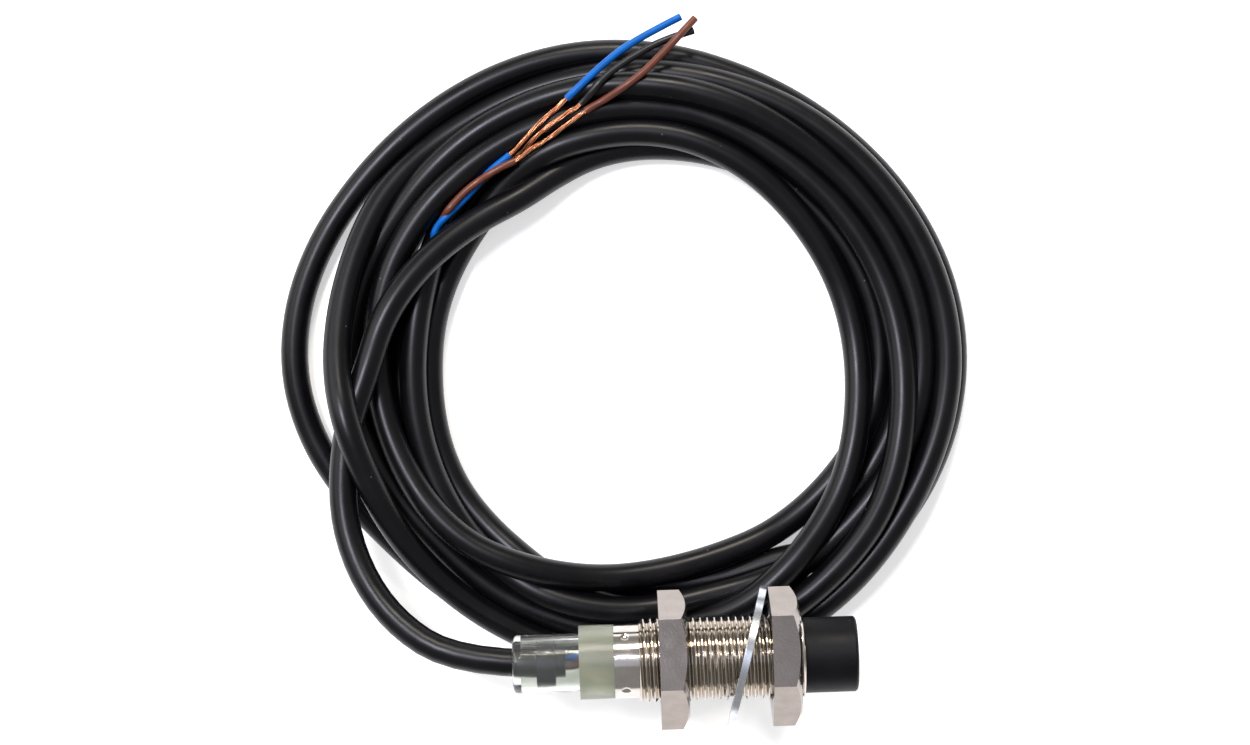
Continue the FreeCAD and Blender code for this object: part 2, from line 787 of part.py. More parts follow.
def cable_coil(bench):
    """One closed ring of the coil's outer shape: oval outside, round inside, with eased edges."""
    radii = {"MajorRadius": "coil_half_length", "MinorRadius": "coil_half_width"}
    oval = bench.add("Part::Ellipse", "coil_oval", radii)
    slab = bench.doc.addObject("Part::Extrusion", "coil_slab")
    slab.Base = oval
    slab.Dir = Vector(0, 0, 1)
    slab.Solid = True
    place = {
        "LengthFwd": "coil_height",
        "Placement.Base.x": "coil_centre_x",
        "Placement.Base.y": "coil_centre_y",
        "Placement.Base.z": "-table_drop",
    }
    bench.bind(slab, place)
    hole_size = {
        "Radius": "coil_hole_radius",
        "Height": "coil_height",
        "Placement.Base.x": "coil_hole_x",
        "Placement.Base.y": "coil_hole_y",
        "Placement.Base.z": "-table_drop",
    }
    hole = bench.add("Part::Cylinder", "coil_hole", hole_size)
    ring = bench.cut("coil_ring", slab, hole)
    bench.doc.recompute()
    ease = bench.value("coil_edge")
    rims = [
        (number, ease, ease)
        for number, edge in enumerate(ring.Shape.Edges, start=1)
        if edge.Curve.TypeId != "Part::GeomLine"
    ]
    eased = bench.doc.addObject("Part::Chamfer", "coil_eased")
    eased.Base = ring
    eased.Edges = rims
    bench.keep(eased, "cable_coil")


def free_cores(bench):
    """At the cable's free end: each core's insulation, its conductor and the sleeve on its tip."""
    outer = bench.value("core_diameter/2")
    inner = bench.value("conductor_diameter/2")
    step = bench.value("core_diameter+fit_gap")
    base = bench.value(f"{COIL_TOP}+core_diameter/2")
    for colour, core in FREE_CORES.items():
        height = base + core.layer * step
        edges = rounded_route([(x, y, height) for x, y in core.route], colour + "_core")
        length = sum(edge.Length for edge in edges)
        wire = swept(edges, inner, colour + "_conductor")
        bench.feature(f"{colour}_conductor", wire)
        spans = {
            f"{colour}_core": (0.0, core.stripped_at),
            f"{colour}_tip_sleeve": (length - core.sleeve_length, length),
        }
        for label, (start, end) in spans.items():
            part = stretch(edges, start, end)
            bench.feature(label, swept(part, outer, label).cut(swept(part, inner, label)))


def check(bench):
    """Stop if any object failed or any sub-part's shape is empty or broken."""
    bench.doc.recompute()
    for item in bench.doc.Objects:
        if any(state in ("Invalid", "Error") for state in item.State):
            raise RuntimeError(f"{item.Name} is {item.State}")
    for piece in bench.pieces:
        if piece.Shape.isNull() or not piece.Shape.isValid() or not piece.Shape.Solids:
            raise RuntimeError(f"{piece.Label} has no valid solid")


def write(bench):
    """Write one STEP file for each sub-part."""
    os.makedirs("parts", exist_ok=True)
    for piece in bench.pieces:
        piece.Shape.exportStep(f"parts/{piece.Label}.step")
        count = len(piece.Shape.Solids)
        print(f"{piece.Label}: {count} solid(s), {piece.Shape.Volume:.2f} cubic mm")


def main():
    """Build every sub-part, check them all and write them."""
    bench = Bench()
    barrel(bench)
    sensing_head(bench)
    pot_core(bench)
    sensing_coil(bench)
    electronics(bench)
    solder(bench)
    light_ring(bench)
    end_cap(bench)
    cable_clamp(bench)
    inner_cores(bench)
    cable_lead(bench)
    cable_coil(bench)
    free_cores(bench)
    nut(bench, "front_nut", "front_nut_setback")
    nut(bench, "rear_nut", "rear_nut_setback")
    lock_washer(bench)
    check(bench)
    write(bench)


main()
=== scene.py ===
"""Looks of a cylindrical inductive proximity sensor with its coiled cable.

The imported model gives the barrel, nuts, washer, caps and electronics. This script lays the cable
and its stripped cores, gives every piece its finish, and sets up the studio and the camera.
Everything is in metres unless a name says millimetres.
"""

from __future__ import annotations

import json
import logging
import math
from dataclasses import dataclass, field
from enum import Enum

import bmesh
import bpy
import numpy as np
from mathutils import Matrix, Vector

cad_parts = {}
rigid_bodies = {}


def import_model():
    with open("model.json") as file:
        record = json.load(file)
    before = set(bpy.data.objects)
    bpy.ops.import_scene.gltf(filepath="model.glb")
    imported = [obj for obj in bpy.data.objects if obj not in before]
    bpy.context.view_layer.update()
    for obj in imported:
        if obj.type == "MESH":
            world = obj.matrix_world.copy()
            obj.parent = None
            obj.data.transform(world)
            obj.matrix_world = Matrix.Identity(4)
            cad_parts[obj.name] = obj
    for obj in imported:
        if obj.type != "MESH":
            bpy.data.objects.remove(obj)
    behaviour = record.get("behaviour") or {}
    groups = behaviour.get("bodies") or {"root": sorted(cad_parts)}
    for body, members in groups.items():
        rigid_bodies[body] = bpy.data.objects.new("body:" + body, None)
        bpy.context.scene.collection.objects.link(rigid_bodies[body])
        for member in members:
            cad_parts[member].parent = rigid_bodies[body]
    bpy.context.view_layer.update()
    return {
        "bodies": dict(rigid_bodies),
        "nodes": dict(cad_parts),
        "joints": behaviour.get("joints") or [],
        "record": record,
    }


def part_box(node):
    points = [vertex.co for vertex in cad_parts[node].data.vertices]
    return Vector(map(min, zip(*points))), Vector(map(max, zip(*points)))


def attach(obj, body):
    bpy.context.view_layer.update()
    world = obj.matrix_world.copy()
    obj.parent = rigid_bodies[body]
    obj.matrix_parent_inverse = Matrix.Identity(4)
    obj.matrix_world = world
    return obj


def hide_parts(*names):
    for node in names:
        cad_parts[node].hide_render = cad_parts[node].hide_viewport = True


LOG = logging.getLogger("sensor")
MM = 0.001
# Short names for the types that are passed round.
Tree = bpy.types.NodeTree
Socket = bpy.types.NodeSocket
Piece = bpy.types.Object
TABLE_HEIGHT = -19.0 * MM
# Steps of the cable's settling, and how far a free point falls in each. The last fifth is gentler.
SETTLE_STEPS = 500
SETTLE_FALL = 0.10 * MM
GENTLE_FROM = 0.8
GENTLE_FALL = SETTLE_FALL / 3
# In each step, how much of a point's bend goes out upwards and sideways, how much of its way back to
# where it was laid it takes, and how often strands that overlap are pushed apart.
LIFT_STIFFNESS = 0.55
SIDE_STIFFNESS = 0.6
HOLD = 0.06
PUSHES = 3
PUSH_SHARE = 0.25
# Strands are pushed until they are this many diameters apart, though some stay nearer. Those nearer
# than the second figure are watched, apart from a point's own neighbours along the cable.
REST_GAP = 1.003
WATCHED_GAP = 2.6
OWN_NEIGHBOURS = 8
# The space that the turns keep out of round the barrel's axis: start, end and radius in millimetres,
# first the barrel with its caps and then its nuts. They also keep clear of it by the last figure.
SENSOR_SPACES_MM = ((-49.0, 1.0, 6.3), (-30.0, -6.0, 10.4))
SENSOR_CLEARANCE = 0.15 * MM
# A free core's draping, with points this far apart.
CORE_STEPS = 600
CORE_FALL = 0.03 * MM
CORE_SPACING = 0.5 * MM
SENSOR_BODY = "sensor"


# ---- colours and nodes


def linear(colour: str) -> tuple[float, float, float, float]:
    """Turn an sRGB hex colour into linear light.

    Args:
        colour: six hex digits after a hash sign.

    Returns:
        Red, green, blue and an alpha of one.
    """
    parts = [int(colour[start : start + 2], 16) / 255.0 for start in (1, 3, 5)]
    bent = [c / 12.92 if c <= 0.04045 else ((c + 0.055) / 1.055) ** 2.4 for c in parts]
    return (bent[0], bent[1], bent[2], 1.0)


def add_node(
    tree: Tree,
    kind: str,
    settings: dict[str, object] | None = None,
    links: dict[str, Socket] | None = None,
) -> bpy.types.Node:
    """Add a node, set its properties and sockets, and link what feeds it.

    Args:
        tree: the material's node tree.
        kind: the node's type name.
        settings: property names, or input names or numbers, with their values.
        links: input names or numbers with the outputs that feed them.

    Returns:
        The new node.
    """
    node = tree.nodes.new(kind)
    for name, value in (settings or {}).items():
        if isinstance(name, str) and hasattr(node, name):
            setattr(node, name, value)
        else:
            node.inputs[name].default_value = value
    for name, socket in (links or {}).items():
        tree.links.new(socket, node.inputs[name])
    return node


def per_length(size_mm: float) -> float:
    """The texture scale at which one feature is this many millimetres across."""
    return 1.0 / (size_mm * MM)


def mixed(tree: Tree, share: Socket, first: str, second: str) -> Socket:
    """Blend two hex colours by a share from zero to one.

    Args:
        tree: the material's node tree.
        share: zero for the first colour, one for the second.
        first: hex colour.
        second: hex colour.

    Returns:
        The blended colour's output.
    """
    node = add_node(tree, "ShaderNodeMix", {"data_type": "RGBA"}, {0: share})
    node.inputs[6].default_value = linear(first)
    node.inputs[7].default_value = linear(second)
    return node.outputs[2]


def ranged(
    tree: Tree,
    value: Socket,
    source: tuple[float, float],
    target: tuple[float, float] = (0.0, 1.0),
) -> Socket:
    """Map a number from one range to another, held at the ends.

    Args:
        tree: the material's node tree.
        value: the number.
        source: the range that it comes from.
        target: the range that it goes to.

    Returns:
        The mapped number's output.
    """
    settings = {1: source[0], 2: source[1], 3: target[0], 4: target[1]}
    return add_node(tree, "ShaderNodeMapRange", settings, {0: value}).outputs[0]


# ---- finishes


@dataclass(frozen=True)
class Finish:
    """A plain moulded surface: two close colours in soft patches, a fine grain and a gloss.

    Attributes:
        name: the material's name.
        colour: main hex colour.
        patch: hex colour of the patches.
        roughness: lowest and highest roughness, between patches.
        metallic: one for metal.
        patch_mm: size of the patches.
        grain_mm: size of the surface grain.
        grain_depth_mm: depth of the grain.
        ior: index of refraction, left alone on metal.
        transmission: share of light that passes through.
        subsurface: share of light that scatters inside.
        specular: strength of the gloss, one half for a clean smooth surface.
        glow: light given off, for a lit table top.
    """

    name: str
    colour: str
    patch: str
    roughness: tuple[float, float] = (0.4, 0.5)
    metallic: float = 0.0
    patch_mm: float = 4.0
    grain_mm: float = 0.3
    grain_depth_mm: float = 0.01
    ior: float = 1.5
    transmission: float = 0.0
    subsurface: float = 0.0
    specular: float = 0.5
    glow: float = 0.0

    def build(self) -> bpy.types.Material:
        """Make the material.

        Returns:
            A material with its nodes in place.
        """
        material = bpy.data.materials.new(self.name)
        material.use_nodes = True
        tree = material.node_tree
        shader = next(node for node in tree.nodes if node.type == "BSDF_PRINCIPLED")
        place = add_node(tree, "ShaderNodeTexCoord").outputs["Object"]
        patches = self.patches(tree, place)
        tree.links.new(self.tint(tree, place, patches), shader.inputs["Base Color"])
        rough = ranged(tree, patches, (0.0, 1.0), self.roughness)
        tree.links.new(rough, shader.inputs["Roughness"])
        tree.links.new(self.relief(tree, place), shader.inputs["Normal"])
        shader.inputs["Metallic"].default_value = self.metallic
        if not self.metallic:
            shader.inputs["IOR"].default_value = self.ior
            shader.inputs["Specular IOR Level"].default_value = self.specular
        shader.inputs["Transmission Weight"].default_value = self.transmission
        shader.inputs["Subsurface Weight"].default_value = self.subsurface
        shader.inputs["Subsurface Scale"].default_value = 2.0 * MM
        shader.inputs["Emission Color"].default_value = linear("#FFFFFF")
        shader.inputs["Emission Strength"].default_value = self.glow
        return material

    def patches(self, tree: Tree, place: Socket) -> Socket:
        """Draw soft patches.

        Args:
            tree: the material's node tree.
            place: where the surface is.

        Returns:
            A number from zero to one, one in the patches.
        """
        settings = {"Scale": per_length(self.patch_mm), "Detail": 4.0, "Roughness": 0.6}
        noise = add_node(tree, "ShaderNodeTexNoise", settings, {"Vector": place})
        return ranged(tree, noise.outputs[0], (0.35, 0.65))

    def tint(self, tree: Tree, place: Socket, patches: Socket) -> Socket:
        """The surface colour, here the two colours in patches."""
        return mixed(tree, patches, self.colour, self.patch)

    def relief(self, tree: Tree, place: Socket) -> Socket:
        """Bump the surface, here with a fine even grain.

        Args:
            tree: the material's node tree.
            place: where the surface is.

        Returns:
            The bumped normal's output.
        """
        settings = {"Scale": per_length(self.grain_mm), "Detail": 3.0}
        grain = add_node(tree, "ShaderNodeTexNoise", settings, {"Vector": place})
        bump = {"Strength": 1.0, "Distance": self.grain_depth_mm * MM}
        return add_node(tree, "ShaderNodeBump", bump, {"Height": grain.outputs[0]}).outputs[0]


@dataclass(frozen=True)
class SpeckledFinish(Finish):
    """A dark moulding with a few pale specks of dust or scuffing.

    Attributes:
        speck: hex colour of the specks.
        speck_mm: distance between specks.
        speck_share: how much of that distance a speck covers.
    """

    speck: str = "#6E6E70"
    speck_mm: float = 2.2
    speck_share: float = 0.05

    def tint(self, tree: Tree, place: Socket, patches: Socket) -> Socket:
        """Put specks over the two colours.

        Args:
            tree: the material's node tree.
            place: where the surface is.
            patches: the soft patches.

        Returns:
            The surface colour's output.
        """
        base = mixed(tree, patches, self.colour, self.patch)
        settings = {"Scale": per_length(self.speck_mm), "Randomness": 1.0}
        cells = add_node(tree, "ShaderNodeTexVoronoi", settings, {"Vector": place})
        share = (self.speck_share, self.speck_share * 0.4)
        specks = ranged(tree, cells.outputs["Distance"], share)
        node = add_node(tree, "ShaderNodeMix", {"data_type": "RGBA"}, {0: specks, 6: base})
        node.inputs[7].default_value = linear(self.speck)
        return node.outputs[2]


@dataclass(frozen=True)
class TurnedPlate(Finish):
    """Plated brass off a lathe: painted warm shade in the grooves, with fine turning lines.

    Attributes:
        groove_shade: hex colour of the painted shade at the bottom of the thread.
        crest_mm: radius where the pale colour is full.
        root_mm: radius where the painted shade is full.
        neck_mm: where the thread stops, behind which the neck is plain.
        neck_blend_mm: how far the painted shade takes to fade out there.
        line_mm: spacing of the turning lines.
    """

    groove_shade: str = "#BAB0A1"
    crest_mm: float = 5.95
    root_mm: float = 5.42
    neck_mm: float = -30.55
    neck_blend_mm: float = 0.2
    line_mm: float = 0.16

    def tint(self, tree: Tree, place: Socket, patches: Socket) -> Socket:
        """Paint warm shade into the plated colour, darker towards the bottom of the thread.

        Args:
            tree: the material's node tree.
            place: where the surface is.
            patches: the soft patches.

        Returns:
            The surface colour's output.
        """
        plated = mixed(tree, patches, self.colour, self.patch)
        across = add_node(tree, "ShaderNodeVectorMath", {"operation": "MULTIPLY"}, {0: place})
        across.inputs[1].default_value = (0.0, 1.0, 1.0)
        out = {"operation": "LENGTH"}
        radius = add_node(tree, "ShaderNodeVectorMath", out, {0: across.outputs[0]})
        span = (self.root_mm * MM, self.crest_mm * MM)
        high = ranged(tree, radius.outputs["Value"], span)
        along = add_node(tree, "ShaderNodeSeparateXYZ", links={0: place}).outputs[0]
        neck = ranged(tree, along, (self.neck_mm * MM, (self.neck_mm - self.neck_blend_mm) * MM))
        pale = add_node(tree, "ShaderNodeMath", {"operation": "MAXIMUM"}, {0: high, 1: neck}).outputs[0]
        # Painted shade: the groove colour, warmer and darker, fills the bottom of the thread.
        node = add_node(tree, "ShaderNodeMix", {"data_type": "RGBA"}, {0: pale, 7: plated})
        node.inputs[6].default_value = linear(self.groove_shade)
        return node.outputs[2]

    def relief(self, tree: Tree, place: Socket) -> Socket:
        """Cut fine lines round the barrel, one for each pass of the tool.

        Args:
            tree: the material's node tree.
            place: where the surface is.

        Returns:
            The bumped normal's output.
        """
        # The wave texture makes one band in this much of its coordinate.
        one_band = 2 * math.pi / 20
        settings = {
            "bands_direction": "X",
            "Scale": one_band / (self.line_mm * MM),
            "Distortion": 1.5,
            "Detail": 2.0,
        }
        lines = add_node(tree, "ShaderNodeTexWave", settings, {"Vector": place})
        bump = {"Strength": 1.0, "Distance": self.grain_depth_mm * MM}
        return add_node(tree, "ShaderNodeBump", bump, {"Height": lines.outputs[0]}).outputs[0]


@dataclass(frozen=True)
class PrintedBoard(Finish):
    """Glass-fibre board under green lacquer, with copper tracks that show as paler lines.

    Attributes:
        track_mm: spacing of the tracks.
    """

    track_mm: float = 1.6

    def tint(self, tree: Tree, place: Socket, patches: Socket) -> Socket:
        """Draw tracks that step sideways now and then under the lacquer.

        Args:
            tree: the material's node tree.
            place: where the surface is.
            patches: the soft patches, not used here.

        Returns:
            The surface colour's output.
        """
        settings = {"Scale": per_length(self.track_mm), "distance": "MANHATTAN"}
        cells = add_node(tree, "ShaderNodeTexVoronoi", settings, {"Vector": place})
        tracks = ranged(tree, cells.outputs["Distance"], (0.30, 0.34))
        return mixed(tree, tracks, self.patch, self.colour)


# Nickel plate on turned brass: bright, with painted warm shade at the floor of the thread and fine
# turning lines that stretch its highlights, drawn coarser than the real ones so that they show.
BARREL_PLATE = TurnedPlate(
    "nickel_plated_turned_brass",
    "#CBC5BE",
    "#BDB6AF",
    roughness=(0.1, 0.17),
    metallic=1.0,
    patch_mm=3.0,
    grain_depth_mm=0.005,
)
# Nickel plate on drawn hexagon bar: satin, warm grey flats with a fine stony grain, drawn coarser
# than the real one so that it shows.
NUT_PLATE = Finish(
    "nickel_plated_hexagon_bar",
    "#978E87",
    "#8E8680",
    roughness=(0.15, 0.2),
    metallic=1.0,
    patch_mm=2.4,
    grain_mm=0.3,
    grain_depth_mm=0.012,
)
# Bright zinc plate on spring steel: bluish and shiny.
WASHER_ZINC = Finish(
    "zinc_plated_spring_steel",
    "#DCDFE3",
    "#BEC3CA",
    roughness=(0.18, 0.3),
    metallic=1.0,
    patch_mm=1.5,
    grain_mm=0.4,
    grain_depth_mm=0.006,
)
# Moulded glass-filled polyester: near black, dull, with a little pale dust.
HEAD_POLYESTER = SpeckledFinish(
    "moulded_black_polyester",
    "#08080A",
    "#0D0D10",
    roughness=(0.44, 0.54),
    grain_mm=0.16,
    grain_depth_mm=0.008,
    specular=0.16,
    speck_mm=1.9,
)
# Extruded soft PVC: black, satin, gives long soft highlights along the cable.
JACKET_PVC = SpeckledFinish(
    "extruded_black_pvc",
    "#060608",
    "#09090C",
    roughness=(0.3, 0.37),
    patch_mm=6.0,
    grain_mm=0.35,
    grain_depth_mm=0.003,
    specular=0.25,
    speck="#5A5A5E",
    speck_mm=5.0,
    speck_share=0.035,
)
# Milky polyamide: pale green-grey, lets light in and blurs what is behind it.
RING_POLYAMIDE = Finish(
    "milky_polyamide",
    "#D0D3C0",
    "#C4C8B2",
    roughness=(0.3, 0.4),
    patch_mm=6.0,
    grain_mm=0.5,
    grain_depth_mm=0.006,
    ior=1.4,
    transmission=0.78,
    subsurface=0.3,
)
# Clear polyamide: colourless and glossy, a little wavy from the mould.
CAP_POLYAMIDE = Finish(
    "clear_polyamide",
    "#E9ECE6",
    "#DDE1DA",
    roughness=(0.05, 0.16),
    grain_mm=2.2,
    grain_depth_mm=0.05,
    ior=1.45,
    transmission=0.97,
)
# Moulded rubber: dark navy and dull, seen as a shadow through the clear cap.
CLAMP_RUBBER = Finish("moulded_nitrile_rubber", "#070B16", "#111A2A", roughness=(0.5, 0.65))
# Extruded PVC over the cores: plain strong colours with a soft sheen.
BROWN_PVC = Finish(
    "brown_core_pvc", "#6E3A26", "#5E3020", (0.32, 0.42), patch_mm=2.0, grain_mm=0.2, grain_depth_mm=0.006
)
BLUE_PVC = Finish(
    "blue_core_pvc",
    "#0063B8",
    "#0058A6",
    roughness=(0.34, 0.44),
    patch_mm=2.0,
    grain_mm=0.2,
    grain_depth_mm=0.006,
    specular=0.25,
)
BLACK_PVC = Finish(
    "black_core_pvc", "#0A0A0C", "#111114", (0.34, 0.44), patch_mm=2.0, grain_mm=0.2, grain_depth_mm=0.006
)
# Bare soft copper strand: bright orange with darker tarnish in patches.
COPPER_STRAND = Finish(
    "bare_copper_strand",
    "#E2A57E",
    "#B46E48",
    roughness=(0.26, 0.4),
    metallic=1.0,
    patch_mm=1.2,
    grain_mm=0.2,
    grain_depth_mm=0.001,
)
# Enamelled copper wire: dark red-orange under a clear glossy coat.
ENAMELLED_COPPER = Finish(
    "enamelled_copper_wire", "#A64B22", "#8A3A18", (0.15, 0.25), metallic=1.0, patch_mm=0.8
)
# Sintered ferrite: charcoal, dry and stony.
SINTERED_FERRITE = Finish(
    "sintered_ferrite", "#2E2E33", "#3C3C42", roughness=(0.5, 0.7), grain_mm=0.12
)
# Moulded polyester: ivory, with a low gloss.
SPOOL_PLASTIC = Finish("moulded_polyester_spool", "#E2DDD0", "#D5CFC0", roughness=(0.4, 0.5))
# Glass-fibre board under solder lacquer: green and smooth, with paler tracks.
BOARD_LACQUER = PrintedBoard("green_lacquered_board", "#1C5A38", "#3E8A5A", roughness=(0.25, 0.35))
# Moulded epoxy: black and matt with a fine grain, as on chip packages.
CHIP_EPOXY = Finish("moulded_epoxy_chip", "#17171A", "#212125", roughness=(0.45, 0.6), grain_mm=0.12)
# Fired ceramic: tan, smooth and slightly glossy.
CAPACITOR_CERAMIC = Finish("fired_ceramic", "#A58A68", "#947A5A", roughness=(0.35, 0.45))
# Reflowed tin solder: bright silver beads.
SOLDER_TIN = Finish("reflowed_tin_solder", "#C2C4C6", "#A9ABAE", (0.15, 0.3), 1.0, 0.8)
# Cast epoxy lens: amber, glossy and see-through.
LIGHT_EPOXY = Finish("yellow_light_epoxy", "#EBC45A", "#E0B446", (0.1, 0.2), transmission=0.4)
# Poured epoxy: dark brown-green with a smooth poured skin.
RESIN_EPOXY = Finish("poured_epoxy_resin", "#2A2A26", "#33332E", roughness=(0.2, 0.3), grain_mm=2.0)

# Matt white acrylic lit from below, which keeps the shadows on the table pale.
LIT_ACRYLIC = Finish(
    "lit_white_acrylic", "#FBFBFA", "#F8F8F7", roughness=(0.8, 0.9), patch_mm=60.0, glow=0.5
)

# The CAD nodes that stay. REFINED below holds the finishes of those that are replaced.
NODE_FINISHES = {
    "brown_inner_core": BROWN_PVC,
    "blue_inner_core": BLUE_PVC,
    "black_inner_core": BLACK_PVC,
    "ferrite_core": SINTERED_FERRITE,
    "coil_spool": SPOOL_PLASTIC,
    "coil_winding": ENAMELLED_COPPER,
    "coil_wires": ENAMELLED_COPPER,
    "circuit_board": BOARD_LACQUER,
    "oscillator_chip": CHIP_EPOXY,
    "output_transistor": CHIP_EPOXY,
    "chip_resistors": CHIP_EPOXY,
    "chip_capacitors": CAPACITOR_CERAMIC,
    "status_lights": LIGHT_EPOXY,
    "solder_joints": SOLDER_TIN,
    "potting_resin": RESIN_EPOXY,
}


class Paintbox:
    """Makes each finish once and gives it to pieces."""

    def __init__(self) -> None:
        """Start with nothing made."""
        self.made: dict[str, bpy.types.Material] = {}

    def dress(self, piece: Piece, finish: Finish) -> None:
        """Give a piece one finish all over.

        Args:
            piece: a mesh or curve object.
            finish: what it is made of.
        """
        if finish.name not in self.made:
            self.made[finish.name] = finish.build()
        piece.data.materials.clear()
        piece.data.materials.append(self.made[finish.name])


# ---- lines


def smooth_between(values: list[float], places: np.ndarray) -> np.ndarray:
    """Read a smooth curve that passes through evenly spaced values.

    Args:
        values: the values.
        places: where to read, counted in values from the first.

    Returns:
        One number for each place.
    """
    knots = np.array([values[0], *values, values[-1]])
    index = np.clip(places.astype(int), 0, len(values) - 2)
    t = places - index
    a, b, c, d = (knots[index + step] for step in range(4))
    curve = (2 * a - 5 * b + 4 * c - d) * t**2 + (3 * b - a - 3 * c + d) * t**3
    return b + 0.5 * ((c - a) * t + curve)


def bend(points: np.ndarray) -> np.ndarray:
    """Measure how far each point is from the middle of its two neighbours.

    Args:
        points: points along a line, or one number for each.

    Returns:
        The way from each point to that middle, none at the two ends.
    """
    out = np.zeros_like(points)
    out[1:-1] = 0.5 * (points[:-2] + points[2:]) - points[1:-1]
    return out


def evenly(line: np.ndarray, spacing: float) -> np.ndarray:
    """Walk along a line with even steps.

    Args:
        line: points along it.
        spacing: the length of a step.

    Returns:
        Points along the same line, evenly spaced from end to end.
    """
    run = travelled(line)
    stops = np.linspace(0.0, run[-1], max(2, round(run[-1] / spacing) + 1))
    return np.stack([np.interp(stops, run, line[:, axis]) for axis in range(3)], axis=1)


def travelled(line: np.ndarray) -> np.ndarray:
    """The length of a line from its start to each of its points."""
    steps = np.linalg.norm(np.diff(line, axis=0), axis=1)
    return np.concatenate([[0.0], np.cumsum(steps)])


def stretch_of(line: np.ndarray, start: float, end: float) -> np.ndarray:
    """Cut a part out of a line.

    Args:
        line: points along it.
        start: where the part starts, as a length from the line's start.
        end: where it ends.

    Returns:
        Evenly spaced points along the part.
    """
    run = travelled(line)
    stops = np.linspace(start, end, max(4, round((end - start) / CORE_SPACING) + 1))
    return np.stack([np.interp(stops, run, line[:, axis]) for axis in range(3)], axis=1)


def add_spline(data: bpy.types.Curve, kind: str, points: list[tuple[float, ...]]) -> None:
    """Add an open spline to a curve.

    Args:
        data: the curve.
        kind: NURBS for a smooth line, or POLY for one through every point.
        points: its points.
    """
    spline = data.splines.new(kind)
    spline.points.add(len(points) - 1)
    for knot, place in zip(spline.points, points):
        knot.co = (*place, 1.0)
    if kind == "NURBS":
        spline.order_u = 3
        spline.use_endpoint_u = True
        spline.resolution_u = 6


def new_curve(name: str, radius: float, sides: int = 16) -> Piece:
    """Make an empty curve object that gives its splines a round section.

    Args:
        name: the object's name.
        radius: of the section, or zero for a bare line.
        sides: of the section.

    Returns:
        The curve object, in the scene.
    """
    data = bpy.data.curves.new(name, "CURVE")
    data.dimensions = "3D"
    data.bevel_depth = radius
    # The section has four sides more than twice this.
    data.bevel_resolution = sides // 2 - 2
    data.use_fill_caps = radius > 0.0
    piece = bpy.data.objects.new(name, data)
    bpy.context.scene.collection.objects.link(piece)
    return piece


def smooth_curve(name: str, points: list[tuple[float, ...]], radius: float) -> Piece:
    """Make one smooth line, round in section unless its radius is zero.

    Args:
        name: the object's name.
        points: the points that guide it.
        radius: of the section.

    Returns:
        The curve object.
    """
    piece = new_curve(name, radius, 20)
    add_spline(piece.data, "NURBS", points)
    return piece


def tube(name: str, line: np.ndarray, radius: float) -> Piece:
    """Make a round tube through every point of a line.

    Args:
        name: the object's name.
        line: its points.
        radius: of the tube.

    Returns:
        The curve object.
    """
    piece = new_curve(name, radius)
    add_spline(piece.data, "POLY", [tuple(point) for point in line])
    return piece


def read_line(curve: Piece) -> np.ndarray:
    """Read the points along a curve's own line.

    Args:
        curve: an object with one spline.

    Returns:
        The points, from the spline's start to its end.
    """
    bare = bpy.data.objects.new("bare_line", curve.data.copy())
    bare.data.bevel_depth = 0.0
    mesh = bpy.data.meshes.new_from_object(bare)
    points = np.array([tuple(vertex.co) for vertex in mesh.vertices])
    bpy.data.objects.remove(bare)
    bpy.data.meshes.remove(mesh)
    return points


# ---- cable


class CoreColour(Enum):
    """The cable's three cores, by the colour of their insulation."""

    BROWN = "brown"
    BLUE = "blue"
    BLACK = "black"


